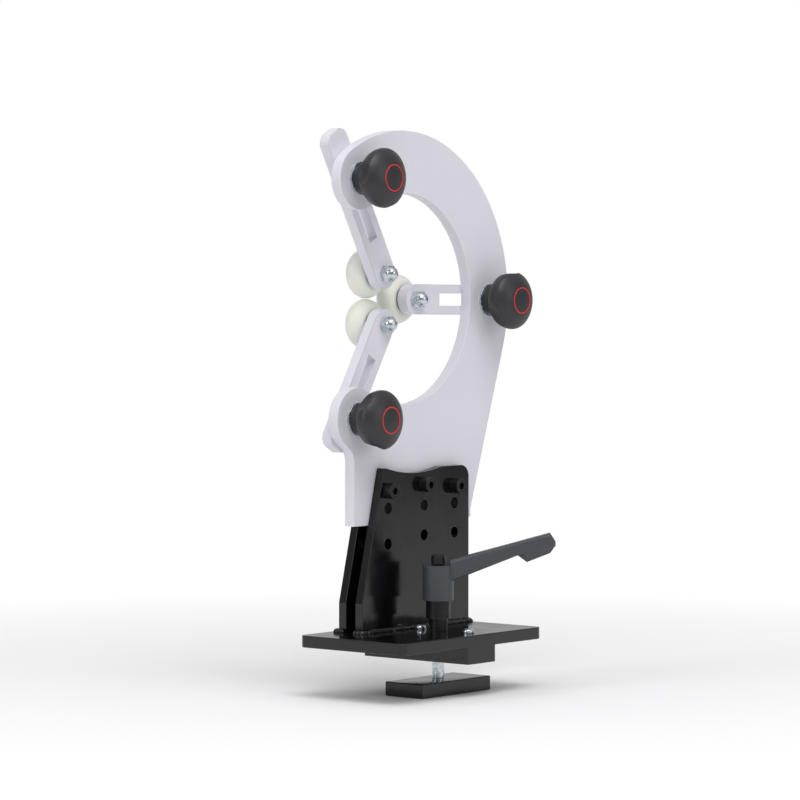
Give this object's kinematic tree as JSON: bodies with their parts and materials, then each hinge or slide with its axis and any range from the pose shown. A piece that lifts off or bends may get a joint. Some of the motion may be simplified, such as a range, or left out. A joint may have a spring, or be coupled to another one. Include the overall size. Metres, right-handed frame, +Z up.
{
  "type": "steady rest",
  "caption": "Lathe steady rest: a C-shaped ring plate bolted between two uprights on a bed-clamping base, with slotted arms that carry rollers and are locked by knobs.",
  "frame": {"origin": "on the lathe bed, straight under the work axis, on the mid plane of the ring plate", "axes": "+X across the bed to its far side, +Y along the bed, away from the knobs, +Z up"},
  "size_m": [0.2495, 0.1606, 0.4712],
  "materials": {
    "silver_paint": "satin",
    "black_steel": "gloss",
    "black_oxide": "satin",
    "zinc": "satin",
    "lever_casting": "satin",
    "spring_steel": "satin",
    "knob_plastic": "satin",
    "red_plastic": "gloss",
    "roller_plastic": "satin",
    "bearing_steel": "polished",
    "seal_rubber": "matte"
  },
  "bodies": {
    "frame": {"ring_plate": "silver_paint", "base_plate": "black_steel", "front_upright": "black_steel", "back_upright": "black_steel", "weld_beads": "black_steel", "ring_screws": "black_oxide", "ring_screw_washers": "zinc", "ring_screw_nuts": "zinc", "guide_block": "black_steel", "guide_screws": "zinc", "lever_sleeve": "black_oxide", "top_clamp_bolt": "zinc", "right_clamp_bolt": "zinc", "bottom_clamp_bolt": "zinc"},
    "top_arm_group": {"top_arm": "silver_paint", "top_axle_bolt": "zinc", "top_dome_nut": "zinc", "top_axle_sleeves": "bearing_steel"},
    "top_roller_group": {"top_roller": "roller_plastic", "top_bearing_races": "bearing_steel", "top_bearing_seals": "seal_rubber"},
    "top_washer_group": {"top_knob_washer": "zinc"},
    "top_knob_group": {"top_knob": "knob_plastic", "top_knob_insert": "zinc", "top_knob_band": "red_plastic", "top_knob_cap": "knob_plastic"},
    "right_arm_group": {"right_arm": "silver_paint", "right_axle_bolt": "zinc", "right_dome_nut": "zinc", "right_axle_sleeves": "bearing_steel"},
    "right_roller_group": {"right_roller": "roller_plastic", "right_bearing_races": "bearing_steel", "right_bearing_seals": "seal_rubber"},
    "right_washer_group": {"right_knob_washer": "zinc"},
    "right_knob_group": {"right_knob": "knob_plastic", "right_knob_insert": "zinc", "right_knob_band": "red_plastic", "right_knob_cap": "knob_plastic"},
    "bottom_arm_group": {"bottom_arm": "silver_paint", "bottom_axle_bolt": "zinc", "bottom_dome_nut": "zinc", "bottom_axle_sleeves": "bearing_steel"},
    "bottom_roller_group": {"bottom_roller": "roller_plastic", "bottom_bearing_races": "bearing_steel", "bottom_bearing_seals": "seal_rubber"},
    "bottom_washer_group": {"bottom_knob_washer": "zinc"},
    "bottom_knob_group": {"bottom_knob": "knob_plastic", "bottom_knob_insert": "zinc", "bottom_knob_band": "red_plastic", "bottom_knob_cap": "knob_plastic"},
    "lever_bush_group": {"lever_insert": "black_oxide", "lever_screw": "black_oxide", "lever_spring": "spring_steel"},
    "lever_handle_group": {"lever_handle": "lever_casting"},
    "bed_clamp_group": {"clamp_stud": "zinc", "clamp_plate": "black_steel"}
  },
  "joints": [
    {"name": "top_arm_slide", "type": "slide", "parent": "frame", "child": "top_arm_group", "axis": [-0.4833, 0, 0.8755], "range_m": [0, 0.053]},
    {"name": "top_roller_spin", "type": "hinge", "parent": "top_arm_group", "child": "top_roller_group", "pos_m": [-0.01189, 0, 0.30854], "axis": [0, 1, 0], "continuous": true},
    {"name": "top_knob_travel", "type": "slide", "parent": "frame", "child": "top_washer_group", "axis": [0, -1, 0], "range_m": [0, 0.0045]},
    {"name": "top_knob_turn", "type": "hinge", "parent": "top_washer_group", "child": "top_knob_group", "pos_m": [-0.0557, 0, 0.3879], "axis": [0, -1, 0], "range_deg": [0, 1080]},
    {"name": "right_arm_slide", "type": "slide", "parent": "frame", "child": "right_arm_group", "axis": [0.9998, 0, -0.0192], "range_m": [-0.0034, 0.0496]},
    {"name": "right_roller_spin", "type": "hinge", "parent": "right_arm_group", "child": "right_roller_group", "pos_m": [0.02799, 0, 0.28646], "axis": [0, 1, 0], "continuous": true},
    {"name": "right_knob_travel", "type": "slide", "parent": "frame", "child": "right_washer_group", "axis": [0, -1, 0], "range_m": [0, 0.0045]},
    {"name": "right_knob_turn", "type": "hinge", "parent": "right_washer_group", "child": "right_knob_group", "pos_m": [0.11523, 0, 0.28479], "axis": [0, -1, 0], "range_deg": [0, 1080]},
    {"name": "bottom_arm_slide", "type": "slide", "parent": "frame", "child": "bottom_arm_group", "axis": [-0.5165, 0, -0.8563], "range_m": [0, 0.053]},
    {"name": "bottom_roller_spin", "type": "hinge", "parent": "bottom_arm_group", "child": "bottom_roller_group", "pos_m": [-0.01271, 0, 0.26594], "axis": [0, 1, 0], "continuous": true},
    {"name": "bottom_knob_travel", "type": "slide", "parent": "frame", "child": "bottom_washer_group", "axis": [0, -1, 0], "range_m": [0, 0.0045]},
    {"name": "bottom_knob_turn", "type": "hinge", "parent": "bottom_washer_group", "child": "bottom_knob_group", "pos_m": [-0.05953, 0, 0.18832], "axis": [0, -1, 0], "range_deg": [0, 1080]},
    {"name": "lever_turn", "type": "hinge", "parent": "frame", "child": "lever_bush_group", "pos_m": [0, -0.0424, 0.0358], "axis": [0, 0, 1], "range_deg": [-130, 50]},
    {"name": "lever_lift", "type": "slide", "parent": "lever_bush_group", "child": "lever_handle_group", "axis": [0, 0, 1], "range_m": [0, 0.0046], "stiffness_N_per_m": 800, "springref_m": -0.004, "deforming": ["lever_spring"]},
    {"name": "bed_clamp_travel", "type": "slide", "parent": "frame", "child": "bed_clamp_group", "axis": [0, 0, -1], "range_m": [-0.00054166, 0.00020833]}
  ],
  "couplings": [
    {"joint": "top_knob_turn", "follows": "top_knob_travel", "rad_per_m": 4188.8},
    {"joint": "right_knob_turn", "follows": "right_knob_travel", "rad_per_m": 4188.8},
    {"joint": "bottom_knob_turn", "follows": "bottom_knob_travel", "rad_per_m": 4188.8},
    {"joint": "lever_turn", "follows": "bed_clamp_travel", "rad_per_m": 4188.8}
  ]
}
